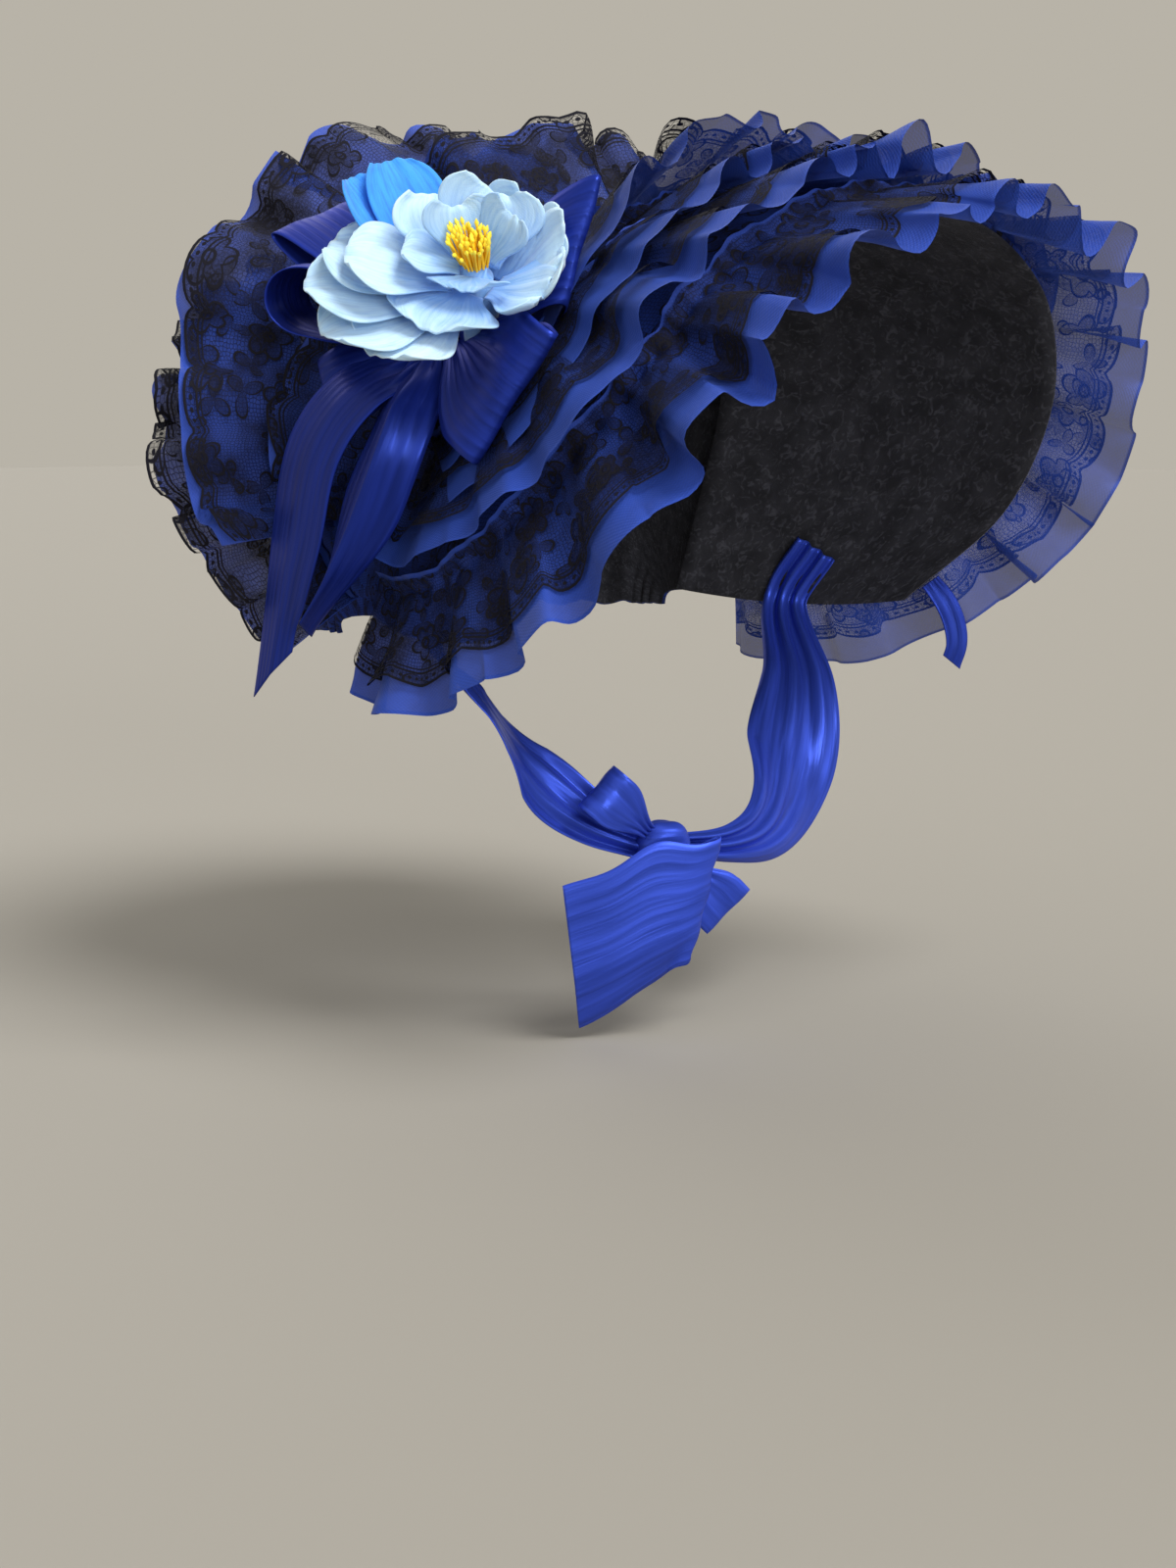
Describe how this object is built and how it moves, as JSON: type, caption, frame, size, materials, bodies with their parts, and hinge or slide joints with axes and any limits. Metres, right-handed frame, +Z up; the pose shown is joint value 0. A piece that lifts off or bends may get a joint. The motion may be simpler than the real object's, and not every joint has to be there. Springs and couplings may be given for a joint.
{
  "type": "ruffled bonnet",
  "caption": "Soft bonnet with a deep velvet-lined brim, tiers of lace-covered ruffles, a cloth flower on a ribbon bow at one side, and ribbon ties knotted in a bow under the chin.",
  "frame": {"origin": "the point inside the crown that rests on top of the wearer's head", "axes": "+Z up through the top of the head, -Y the way the wearer faces, -X the wearer's right, where the flower is"},
  "size_m": [0.3416, 0.3687, 0.3704],
  "materials": {
    "lace_chiffon": "sheer blue chiffon under black lace",
    "velvet": "near-black velvet",
    "violet_satin": "satin ribbon, finely ribbed",
    "petal_cloth": "pale matte cloth",
    "azure_cloth": "creased matte cloth",
    "stamen_thread": "waxed thread",
    "blue_satin": "satin ribbon"
  },
  "bodies": {
    "root": {"brim": "lace_chiffon", "crown": "lace_chiffon", "ruffle_rim": "lace_chiffon", "ruffle_front_2": "lace_chiffon", "ruffle_front_3": "lace_chiffon", "ruffle_front_4": "lace_chiffon", "ruffle_back_1": "lace_chiffon", "ruffle_back_2": "lace_chiffon", "ruffle_back_3": "lace_chiffon", "brim_lining": "velvet", "corsage_post": "violet_satin", "bow_knot": "violet_satin", "bow_loop_upper": "violet_satin", "bow_loop_rear": "violet_satin", "bow_loop_face": "violet_satin", "bow_loop_lower": "violet_satin", "bow_loop_under": "violet_satin", "bow_tail_rear": "violet_satin", "bow_tail_front": "violet_satin", "flower_core": "petal_cloth", "petal_outer_1": "petal_cloth", "petal_outer_2": "petal_cloth", "petal_outer_3": "petal_cloth", "petal_outer_4": "petal_cloth", "petal_outer_5": "petal_cloth", "petal_outer_6": "petal_cloth", "petal_middle_1": "petal_cloth", "petal_middle_2": "petal_cloth", "petal_middle_3": "petal_cloth", "petal_middle_4": "petal_cloth", "petal_middle_5": "petal_cloth", "petal_inner_1": "petal_cloth", "petal_inner_2": "petal_cloth", "petal_inner_3": "petal_cloth", "petal_inner_4": "petal_cloth", "petal_blue_1": "azure_cloth", "petal_blue_2": "azure_cloth", "stamens": "stamen_thread", "chin_tie_right": "blue_satin", "chin_tie_left": "blue_satin", "chin_knot": "blue_satin", "chin_loop_near": "blue_satin", "chin_loop_far": "blue_satin", "chin_tail_front": "blue_satin", "chin_tail_rear": "blue_satin"}
  },
  "joints": []
}
